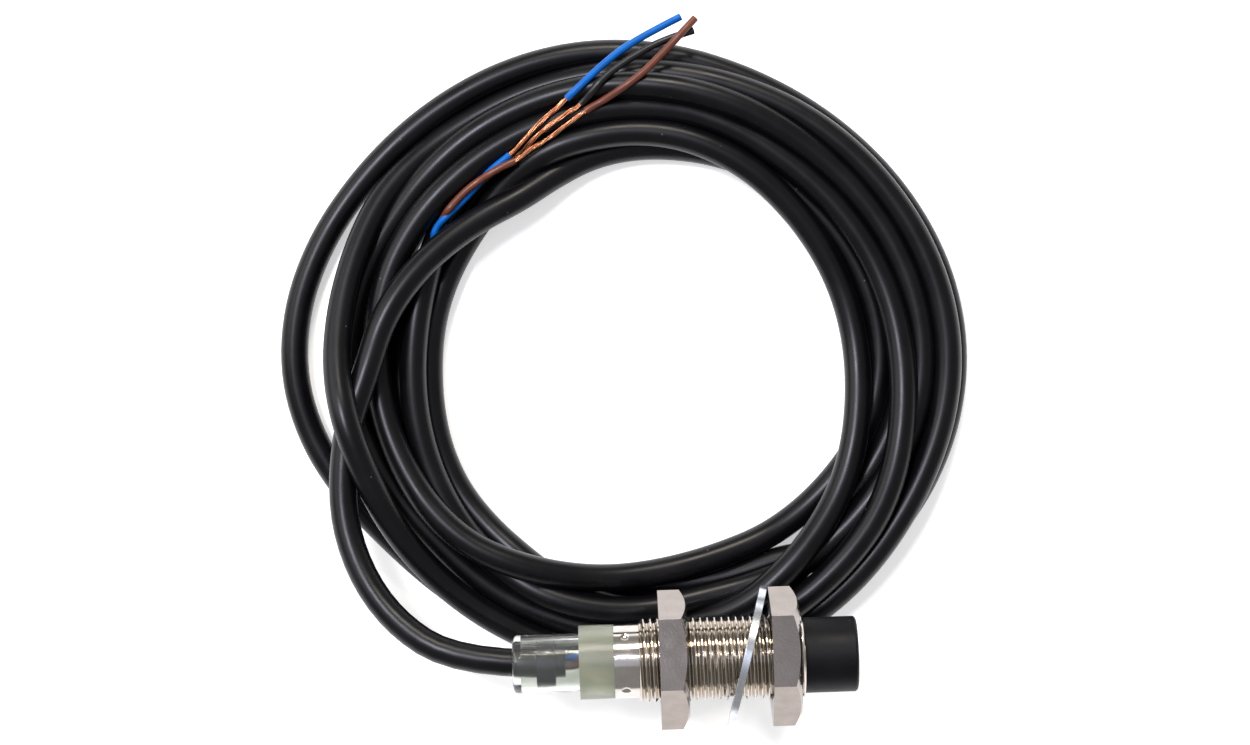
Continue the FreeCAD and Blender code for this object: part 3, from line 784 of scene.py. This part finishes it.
@dataclass
class Cable:
    """The jacketed cable: out of the end cap, down onto the table and round eight loose turns.

    Attributes:
        diameter: over the jacket.
        length: from the jacket's end in the cap to the far end, not used.
        centre: the middle of the coil on the table.
        lead: the route from the jacket's end down to the coil.
        lead_spacing: between the lead's points that hold the turns off, in diameters.
        turn_radii_mm: each turn's radius at the eight compass points, starting in the west and
            going clockwise, from the first turn to the last.
        last_radius_mm: where the tail goes after the last turn.
        tail_degrees: how far the tail runs past the last full turn.
        step_degrees: the angle between the points that the turns are settled with.
        layer_share: how much higher each turn is laid than the next, in diameters.
        crossing_turn: the turn thrown over the others on the east side, counted from 0.
        crossing_degrees: where on that turn the crossing starts and ends.
        crossing_ramp: over how many degrees it climbs and comes down.
        line: the cable's middle, once it has been laid.
        under_cores: the part of that line past the first turn, which the free cores lie on.
    """

    diameter: float = 4.0 * MM
    length: float = 2.03
    centre: tuple[float, float] = (-29.0 * MM, 42.1 * MM)
    lead: list[tuple[float, float, float]] = field(
        default_factory=lambda: [
            (-55.4 * MM, 0.0, 0.0),
            (-66.5 * MM, 7.0 * MM, -3.5 * MM),
            (-72.5 * MM, 19.0 * MM, -7.0 * MM),
            (-72.0 * MM, 32.5 * MM, -8.0 * MM),
        ]
    )
    lead_spacing: float = 0.8
    turn_radii_mm: tuple[tuple[float, ...], ...] = (
        (39.5, 32.0, 32.5, 37.0, 37.4, 33.0, 31.5, 36.5),
        (38.5, 39.0, 37.5, 37.5, 38.7, 41.5, 42.5, 43.0),
        (44.0, 43.0, 41.5, 42.5, 44.5, 43.5, 41.5, 42.0),
        (51.0, 47.5, 44.5, 43.0, 46.0, 43.5, 39.5, 38.5),
        (42.0, 41.0, 39.0, 39.5, 41.5, 38.5, 37.0, 36.0),
        (33.5, 34.0, 36.5, 37.2, 39.0, 37.5, 36.5, 34.5),
        (31.5, 33.0, 35.5, 32.5, 32.0, 36.0, 40.5, 41.0),
        (40.0, 39.5, 38.5, 38.5, 40.5, 38.5, 34.0, 36.5),
    )
    last_radius_mm: float = 34.2
    tail_degrees: float = 24.0
    step_degrees: float = 5.625
    layer_share: float = 0.55
    crossing_turn: int = 6
    crossing_degrees: tuple[float, float] = (95.0, 245.0)
    crossing_ramp: float = 30.0
    line: np.ndarray = field(default_factory=lambda: np.zeros((0, 3)))
    under_cores: np.ndarray = field(default_factory=lambda: np.zeros((0, 3)))

    def turns(self) -> np.ndarray:
        """Lay the turns out flat, each higher than the next, as they were thrown down.

        Returns:
            Points in the row frame, one every step.
        """
        radii = [r * MM for turn in self.turn_radii_mm for r in turn]
        radii += [self.last_radius_mm * MM] * 2
        per_turn = len(self.turn_radii_mm[0])
        whole = len(self.turn_radii_mm) * 360.0
        turned = np.arange(0.0, whole + self.tail_degrees, self.step_degrees)
        radius = smooth_between(radii, turned / 360.0 * per_turn)
        angle = np.radians(180.0 - turned)
        order = len(self.turn_radii_mm) - turned / 360.0
        start, end = (self.crossing_turn * 360.0 + d for d in self.crossing_degrees)
        rise = np.clip((turned - start + self.crossing_ramp) / self.crossing_ramp, 0.0, 1.0)
        fall = np.clip((end + self.crossing_ramp - turned) / self.crossing_ramp, 0.0, 1.0)
        order = order + len(self.turn_radii_mm) * rise * fall
        layer = self.layer_share * self.diameter
        height = TABLE_HEIGHT + self.diameter / 2 + order * layer
        across = self.centre[0] + radius * np.cos(angle)
        up = self.centre[1] + radius * np.sin(angle)
        return np.stack([across, up, height], axis=1)

    def settled(self, lead_line: np.ndarray) -> np.ndarray:
        """Let the turns sink onto the table and each other, as a heap of round cord does.

        Each point falls, is held up by the table and by the strands that it rests on, and keeps
        near the place where it was laid. The lead above the turns holds still. Where strands are
        crowded, some still press into each other at the end.

        Args:
            lead_line: points along the lead, from the jacket's end to the first turn.

        Returns:
            The turns' points after the last step.
        """
        laid = self.turns()
        rest = np.vstack([lead_line, laid])
        held = len(lead_line)
        points = rest.copy()
        first, second = self.neighbours(rest)
        for step in range(SETTLE_STEPS):
            fall = SETTLE_FALL if step < GENTLE_FROM * SETTLE_STEPS else GENTLE_FALL
            points[held:, 2] -= fall
            points[held:, 2] += LIFT_STIFFNESS * bend(points)[held:, 2]
            points[held:, :2] += HOLD * (rest - points)[held:, :2]
            points[held:, :2] += SIDE_STIFFNESS * bend(points - rest)[held:, :2]
            for _ in range(PUSHES):
                apart = points[first] - points[second]
                distance = np.linalg.norm(apart, axis=1)
                overlap = np.maximum(REST_GAP * self.diameter - distance, 0.0)
                share = PUSH_SHARE * overlap / np.maximum(distance, 1e-9)
                push = np.zeros_like(points)
                np.add.at(push, first, share[:, None] * apart)
                np.add.at(push, second, -share[:, None] * apart)
                points[held:] += push[held:]
                lowest = TABLE_HEIGHT + self.diameter / 2
                points[held:, 2] = np.maximum(points[held:, 2], lowest)
            points[held:] = self.clear_of_sensor(points[held:])
        return points[held:]

    def neighbours(self, points: np.ndarray) -> tuple[np.ndarray, np.ndarray]:
        """Pairs of points that lie near each other seen from above, but not along the cable.

        Args:
            points: the laid line.

        Returns:
            The first and the second point's number of each pair.
        """
        flat = points[:, :2]
        gap = np.linalg.norm(flat[:, None] - flat[None], axis=2)
        first, second = np.nonzero(np.triu(gap < WATCHED_GAP * self.diameter, k=OWN_NEIGHBOURS))
        return first, second

    def clear_of_sensor(self, points: np.ndarray) -> np.ndarray:
        """Push points out of the space that the barrel, its nuts and the end cap take.

        Args:
            points: the points of the turns.

        Returns:
            The points, moved away from the barrel's axis where they were too near.
        """
        radius = np.zeros(len(points))
        along = points[:, 0]
        for start, end, taken in SENSOR_SPACES_MM:
            radius[(along > start * MM) & (along < end * MM)] = taken * MM
        radius = np.where(radius > 0.0, radius + self.diameter / 2 + SENSOR_CLEARANCE, 0.0)
        distance = np.maximum(np.linalg.norm(points[:, 1:], axis=1), 1e-9)
        grow = np.maximum(radius / distance, 1.0)
        moved = points.copy()
        moved[:, 1:] *= grow[:, None]
        return moved

    def build(self, jacket_end: Vector, paint: Paintbox) -> Piece:
        """Lay the cable: one smooth line through the end cap's hole, the lead and every turn.

        Args:
            jacket_end: where the jacket starts, inside the cap.
            paint: the finishes.

        Returns:
            The jacket, a curve whose line is the cable's middle.
        """
        start = [tuple(jacket_end), *self.lead]
        laid = self.turns()
        onward = [(x, y, self.lead[-1][2] - self.diameter / 2) for x, y, _ in laid[:4]]
        guide = smooth_curve("lead_guide", [*start, *onward], 0.0)
        lead_line = read_line(guide)
        bpy.data.objects.remove(guide)
        nearest = int(np.linalg.norm(lead_line - laid[0], axis=1).argmin())
        turns = self.settled(evenly(lead_line[:nearest], self.lead_spacing * self.diameter))
        route = [*start, *map(tuple, turns[::2])]
        jacket = smooth_curve("cable_jacket", route, self.diameter / 2)
        paint.dress(jacket, JACKET_PVC)
        self.line = read_line(jacket)
        first_turn = turns[: round(360.0 / self.step_degrees)]
        covering = travelled(lead_line[:nearest])[-1] + travelled(first_turn)[-1]
        self.under_cores = self.line[travelled(self.line) > covering]
        return jacket


@dataclass
class FreeCore:
    """One stripped core past the jacket's end: insulation, bare strands, and a tip sleeve.

    Attributes:
        colour: which core it is.
        finish: what its insulation is.
        covered_mm: its way under the first turn, before it can be seen.
        route_mm: where it runs over the coil, seen from above.
        stripped_at_mm: where its insulation ends.
        sleeve_at_mm: where the loose sleeve at its tip starts.
        diameter: over the insulation.
        sleeve_swell: how much wider the loose sleeve is than the insulation.
        conductor_diameter: over the bundle of strands.
        strand_count: how many strands show round the bundle.
        radii_across: how many strand radii fit across the bundle.
        twist_length: how far a strand runs for one turn round the bundle.
        wander: how far a strand leaves its place round the bundle, in radians, and over what length.
        looseness: how far it stands off the bundle, as a share of its radius, and over what length.
        tight_end: the length at each end where strands lie close.
        tip_droop: how steeply it sinks past the highest strand that it rests on.
        seed: sets how its strands wander.
        line: its points, once it has been laid.
    """

    colour: CoreColour
    finish: Finish
    covered_mm: tuple[tuple[float, float], ...]
    route_mm: tuple[tuple[float, float], ...]
    stripped_at_mm: tuple[float, float]
    sleeve_at_mm: tuple[float, float]
    diameter: float = 1.05 * MM
    sleeve_swell: float = 1.04
    conductor_diameter: float = 0.66 * MM
    strand_count: int = 7
    radii_across: float = 6.2
    twist_length: float = 11.0 * MM
    wander: tuple[float, float] = (0.25, 1.3 * MM)
    looseness: tuple[float, float] = (0.18, 1.6 * MM)
    tight_end: float = 1.5 * MM
    tip_droop: float = 0.12
    seed: int = 1
    line: np.ndarray = field(default_factory=lambda: np.zeros((0, 3)))

    def lay(self, supports: list[tuple[np.ndarray, float]], start: np.ndarray) -> None:
        """Drape the core over what is under it, as a stiff light wire lies.

        Args:
            supports: the lines under it, each with its radius.
            start: where it comes out of the jacket.
        """
        flat = [(x * MM, y * MM, 0.0) for x, y in (*self.covered_mm, *self.route_mm)]
        guide = smooth_curve("core_guide", [(start[0], start[1], 0.0), *flat], 0.0)
        line = evenly(read_line(guide), CORE_SPACING)
        bpy.data.objects.remove(guide)
        radius = self.diameter / 2
        floor = np.full(len(line), TABLE_HEIGHT + radius)
        for points, other in supports:
            gap = np.linalg.norm(line[:, None, :2] - points[None, :, :2], axis=2)
            reach = other + radius
            lift = np.sqrt(np.maximum(reach**2 - gap**2, 0.0))
            top = np.where(gap < reach, points[None, :, 2] + lift, floor[:, None])
            floor = np.maximum(floor, top.max(axis=1))
        appears = flat[len(self.covered_mm)][:2]
        out = int(np.linalg.norm(line[:, :2] - appears, axis=1).argmin())
        floor[:out] = start[2] + (floor[out] - start[2]) * np.linspace(0.0, 1.0, out) ** 2
        crest = out + int(floor[out:].argmax())
        beyond = np.arange(len(line) - crest) * CORE_SPACING
        floor[crest:] = np.maximum(floor[crest:], floor[crest] - self.tip_droop * beyond)
        height = np.maximum(floor, floor[out:].max())
        height[:out] = floor[:out]
        for _ in range(CORE_STEPS):
            height = np.maximum(height + bend(height) - CORE_FALL, floor)
            height[:out] = np.minimum(height[:out], floor[:out])
        line[:, 2] = height
        self.line = line

    def build(self, paint: Paintbox) -> list[Piece]:
        """Make the insulation, the strands and the sleeve along the laid line.

        Args:
            paint: the finishes.

        Returns:
            The three pieces.
        """
        name = self.colour.value
        radius = self.diameter / 2
        total = travelled(self.line)[-1]
        stripped = self.length_at(self.stripped_at_mm)
        cut = self.length_at(self.sleeve_at_mm)
        insulation = tube(f"{name}_insulation", stretch_of(self.line, 0.0, stripped), radius)
        sleeve = tube(f"{name}_sleeve", stretch_of(self.line, cut, total), radius * self.sleeve_swell)
        strands = self.strands(stretch_of(self.line, stripped - MM, cut + MM))
        paint.dress(insulation, self.finish)
        paint.dress(sleeve, self.finish)
        paint.dress(strands, COPPER_STRAND)
        return [insulation, strands, sleeve]

    def length_at(self, place_mm: tuple[float, float]) -> float:
        """Measure the core from its start to the point nearest a place on the table.

        Args:
            place_mm: the place, across and up.

        Returns:
            The length.
        """
        gap = np.linalg.norm(self.line[:, :2] - np.array(place_mm) * MM, axis=1)
        return travelled(self.line)[gap.argmin()]

    def strands(self, line: np.ndarray) -> Piece:
        """Twist fine strands round a line, each wandering a little.

        Args:
            line: the middle of the bundle.

        Returns:
            One curve that holds every strand.
        """
        chance = np.random.default_rng(self.seed)
        strand_radius = self.conductor_diameter / self.radii_across
        piece = new_curve(f"{self.colour.value}_strands", strand_radius, 8)
        run = travelled(line)
        along = np.gradient(line, axis=0)
        along /= np.linalg.norm(along, axis=1)[:, None]
        across = np.cross(along, (0.0, 0.0, 1.0))
        across /= np.linalg.norm(across, axis=1)[:, None]
        over = np.cross(across, along)
        ends = np.minimum(run, run[-1] - run) / self.tight_end
        for number in range(self.strand_count):
            phase = 2 * math.pi * number / self.strand_count
            drift, swell = chance.uniform(0.0, 2 * math.pi, 2)
            angle = phase + 2 * math.pi * run / self.twist_length
            angle += self.wander[0] * np.sin(run / self.wander[1] + drift)
            wave = np.sin(run / self.looseness[1] + swell)
            loose = 1.0 + self.looseness[0] * wave * np.clip(ends, 0.0, 1.0)
            out = (self.conductor_diameter / 2 - strand_radius) * loose
            place = line + (out * np.cos(angle))[:, None] * across
            place = place + (out * np.sin(angle))[:, None] * over
            add_spline(piece.data, "POLY", [tuple(point) for point in place])
        return piece


# The cores' way from the jacket's end, under the first turn, to where they come out from it.
COVERED_WAY = ((-59.6, 58.3), (-58.4, 60.2))
BROWN_COVERED_WAY = ((-59.6, 58.3), (-58.4, 61.2), (-57.2, 63.7))
BROWN_ROUTE = (
    (-55.7, 65.5),
    (-53.5, 67.8),
    (-51.0, 69.5),
    (-48.3, 70.9),
    (-45.9, 71.9),
    (-43.7, 73.5),
    (-41.2, 74.9),
    (-38.0, 77.1),
    (-35.6, 78.8),
    (-31.5, 80.9),
    (-27.5, 83.5),
    (-24.3, 86.6),
    (-21.5, 89.4),
    (-19.4, 91.6),
)
BLUE_ROUTE = (
    (-58.4, 62.4),
    (-55.4, 65.0),
    (-52.8, 67.5),
    (-50.2, 70.4),
    (-46.7, 72.8),
    (-45.1, 74.4),
    (-42.3, 77.3),
    (-38.4, 80.4),
    (-32.8, 85.5),
    (-28.2, 88.8),
    (-21.5, 92.0),
)
BLACK_ROUTE = (
    (-56.4, 64.4),
    (-53.6, 66.9),
    (-50.3, 69.8),
    (-45.9, 72.4),
    (-42.3, 75.9),
    (-39.4, 77.8),
    (-36.0, 79.8),
    (-32.9, 83.5),
    (-28.3, 86.5),
    (-23.9, 88.7),
    (-19.7, 89.9),
)


# ---- housing and hardware


@dataclass
class Refined:
    """A CAD node's copy with its loose triangles merged, smooth faces and small worn edges.

    Attributes:
        node: the CAD node that the copy stands for.
        name: the piece's name.
        body: the body that it rides on.
        slot: a name for its material slot, not used.
        finish: what it is made of.
        edge_mm: the width of its worn edges, or zero to leave them sharp.
        smooth_degrees: faces that meet flatter than this are shaded as one surface.
        flat_degrees: faces that meet flatter than this become one before the edges are worn.
        weld_mm: corners nearer than this are joined.
        sliver_mm: edges shorter than this are taken out.
    """

    node: str
    name: str
    body: str
    slot: str
    finish: Finish
    edge_mm: float = 0.0
    smooth_degrees: float = 32.0
    flat_degrees: float = 0.4
    weld_mm: float = 0.002
    sliver_mm: float = 0.0005

    def build(self, frame: dict, paint: Paintbox) -> Piece:
        """Copy the node's mesh, join it up and finish its edges.

        Args:
            frame: the loaded frame.
            paint: the finishes.

        Returns:
            The finished piece.
        """
        mesh = frame["nodes"][self.node].data.copy()
        mesh.name = self.name
        shape = bmesh.new()
        shape.from_mesh(mesh)
        bmesh.ops.remove_doubles(shape, verts=shape.verts, dist=self.weld_mm * MM)
        limit = math.radians(self.smooth_degrees)
        bmesh.ops.dissolve_degenerate(shape, edges=shape.edges, dist=self.sliver_mm * MM)
        if self.edge_mm:
            flat = math.radians(self.flat_degrees)
            bmesh.ops.dissolve_limit(shape, angle_limit=flat, verts=shape.verts, edges=shape.edges)
        for face in shape.faces:
            face.smooth = True
        for edge in shape.edges:
            angle = edge.calc_face_angle(math.pi)
            edge.smooth = angle < limit
        shape.to_mesh(mesh)
        shape.free()
        piece = bpy.data.objects.new(self.name, mesh)
        bpy.context.scene.collection.objects.link(piece)
        if self.edge_mm:
            worn = piece.modifiers.new("worn_edges", "BEVEL")
            worn.width = self.edge_mm * MM
            worn.segments = 2
            worn.limit_method = "ANGLE"
            worn.angle_limit = limit
            worn.harden_normals = True
        paint.dress(piece, self.finish)
        return piece


REFINED = (
    Refined("threaded_barrel", "barrel_with_thread", SENSOR_BODY, "nickel_plated_brass", BARREL_PLATE),
    Refined("sensing_head", "sensing_cup", SENSOR_BODY, "black_plastic", HEAD_POLYESTER, 0.12),
    Refined("light_ring", "light_guide_ring", SENSOR_BODY, "milky_plastic", RING_POLYAMIDE),
    Refined("clear_end_cap", "cable_end_cap", SENSOR_BODY, "clear_plastic", CAP_POLYAMIDE),
    Refined("cable_clamp_ring", "cable_clamp", SENSOR_BODY, "dark_rubber", CLAMP_RUBBER, 0.1),
    Refined("front_nut", "front_hexagon_nut", "front_nut", "nickel_plated_nut", NUT_PLATE, 0.1),
    Refined("rear_nut", "rear_hexagon_nut", "rear_nut", "nickel_plated_nut", NUT_PLATE, 0.1),
    Refined("lock_washer", "toothed_lock_washer", "washer", "zinc_plated_steel", WASHER_ZINC, 0.06),
)


# ---- studio


@dataclass(frozen=True)
class SoftLight:
    """One soft box above the table.

    Attributes:
        name: the light's name.
        place: where it hangs, from the middle of the view.
        size: the width of its square face.
        power: in watts.
        colour: hex colour.
    """

    name: str
    place: tuple[float, float, float]
    size: float
    power: float
    colour: str = "#FFFFFF"


@dataclass(frozen=True)
class Studio:
    """The table, the camera looking straight down on it, and the lights round the camera.

    Attributes:
        middle: what the camera looks down on.
        camera_height: above the sensor's axis.
        camera_roll: how far the camera is turned, in degrees.
        lens: focal length in millimetres.
        sensor_width: in millimetres.
        table_side: the side of the table's square top.
        lights: the soft boxes.
        sky: strength of the even light from all round.
    """

    middle: tuple[float, float] = (-31.26 * MM, 40.62 * MM)
    camera_height: float = 0.400
    camera_roll: float = -1.9
    lens: float = 81.79
    sensor_width: float = 36.0
    table_side: float = 6.0
    lights: tuple[SoftLight, ...] = (
        SoftLight("key_soft_box", (-0.62, 0.58, 1.85), 0.42, 33.0, "#F0F0FF"),
        SoftLight("window_soft_box", (-1.9, 0.9, 1.3), 1.6, 20.0),
        SoftLight("top_soft_box", (0.1, 1.5, 1.25), 0.35, 18.0, "#FFF7EA"),
        SoftLight("overhead_veil", (0.0, 0.05, 2.2), 1.0, 1.3, "#D8E4FF"),
    )
    sky: float = 0.36

    def build(self) -> None:
        """Set up the table, the camera, the lights and the sky."""
        bpy.context.scene.view_settings.view_transform = "Standard"
        self.table()
        self.camera()
        for light in self.lights:
            self.hang(light)
        self.surround()

    def table(self) -> None:
        """A plain pale table top, which isn't part of the object."""
        shape = bmesh.new()
        place = Matrix.Translation((*self.middle, TABLE_HEIGHT))
        bmesh.ops.create_grid(shape, x_segments=1, y_segments=1, size=self.table_side / 2, matrix=place)
        mesh = bpy.data.meshes.new("table_top")
        shape.to_mesh(mesh)
        shape.free()
        top = bpy.data.objects.new("table_top", mesh)
        bpy.context.scene.collection.objects.link(top)
        mesh.materials.append(LIT_ACRYLIC.build())

    def camera(self) -> None:
        """A long lens straight above the object."""
        data = bpy.data.cameras.new("camera")
        data.lens = self.lens
        data.sensor_width = self.sensor_width
        data.clip_start = 0.01
        camera = bpy.data.objects.new("camera", data)
        camera.location = (*self.middle, self.camera_height)
        camera.rotation_euler = (0.0, 0.0, math.radians(self.camera_roll))
        bpy.context.scene.collection.objects.link(camera)
        bpy.context.scene.camera = camera

    def hang(self, light: SoftLight) -> None:
        """Hang one soft box, facing the middle of the object.

        Args:
            light: the soft box.
        """
        data = bpy.data.lights.new(light.name, "AREA")
        data.size = light.size
        data.energy = light.power
        data.color = linear(light.colour)[:3]
        lamp = bpy.data.objects.new(light.name, data)
        lamp.location = Vector((*self.middle, 0.0)) + Vector(light.place)
        lamp.rotation_euler = Vector(light.place).to_track_quat("Z", "Y").to_euler()
        bpy.context.scene.collection.objects.link(lamp)

    def surround(self) -> None:
        """Even white light from all round."""
        world = bpy.data.worlds.new("white_room")
        world.use_nodes = True
        background = next(n for n in world.node_tree.nodes if n.type == "BACKGROUND")
        background.inputs["Color"].default_value = linear("#FFFFFF")
        background.inputs["Strength"].default_value = self.sky
        bpy.context.scene.world = world


# ---- assembly


def add_piece(piece: Piece, body: str, nodes: tuple[str, ...]) -> None:
    """Put a finished piece on its body, in place of its CAD nodes.

    Args:
        piece: the finished piece.
        body: the body that it rides on.
        nodes: the CAD nodes that it stands for.
    """
    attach(piece, body)
    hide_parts(*nodes)
    LOG.info("%s rides on %s and stands for %s", piece.name, body, ", ".join(nodes))


def build_cable(paint: Paintbox) -> None:
    """Args:
        paint: the finishes.
    """
    jacket_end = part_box("cable_lead")[1][0]
    cable = Cable()
    jacket = cable.build(Vector((jacket_end, 0.0, 0.0)), paint)
    add_piece(jacket, SENSOR_BODY, ("cable_lead", "cable_coil"))
    cores = (
        FreeCore(
            CoreColour.BLACK, BLACK_PVC, COVERED_WAY, BLACK_ROUTE, (-46.4, 72.2), (-36.2, 79.7), seed=5
        ),
        FreeCore(
            CoreColour.BLUE, BLUE_PVC, COVERED_WAY, BLUE_ROUTE, (-46.9, 72.6), (-38.4, 80.4), seed=3
        ),
        FreeCore(
            CoreColour.BROWN, BROWN_PVC, BROWN_COVERED_WAY, BROWN_ROUTE, (-46.0, 71.8), (-35.7, 78.7), seed=8
        ),
    )
    supports = [(cable.under_cores, cable.diameter / 2)]
    carried = []
    for core in cores:
        core.lay(supports, cable.line[-1])
        supports.append((core.line, core.diameter / 2))
        pieces = core.build(paint)
        carried += pieces
        name = core.colour.value
        for piece, part in zip(pieces, ("core", "conductor", "tip_sleeve")):
            add_piece(piece, SENSOR_BODY, (f"{name}_{part}",))
    LOG.info("cable of %.3f m", travelled(cable.line)[-1])


def main() -> None:
    """Build every sub-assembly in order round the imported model."""
    logging.basicConfig(level=logging.INFO, format="%(name)s: %(message)s")
    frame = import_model()
    paint = Paintbox()
    Studio().build()
    build_cable(paint)
    for part in REFINED:
        add_piece(part.build(frame, paint), part.body, (part.node,))
    for node, finish in NODE_FINISHES.items():
        paint.dress(frame["nodes"][node], finish)


if __name__ == "__main__":
    main()
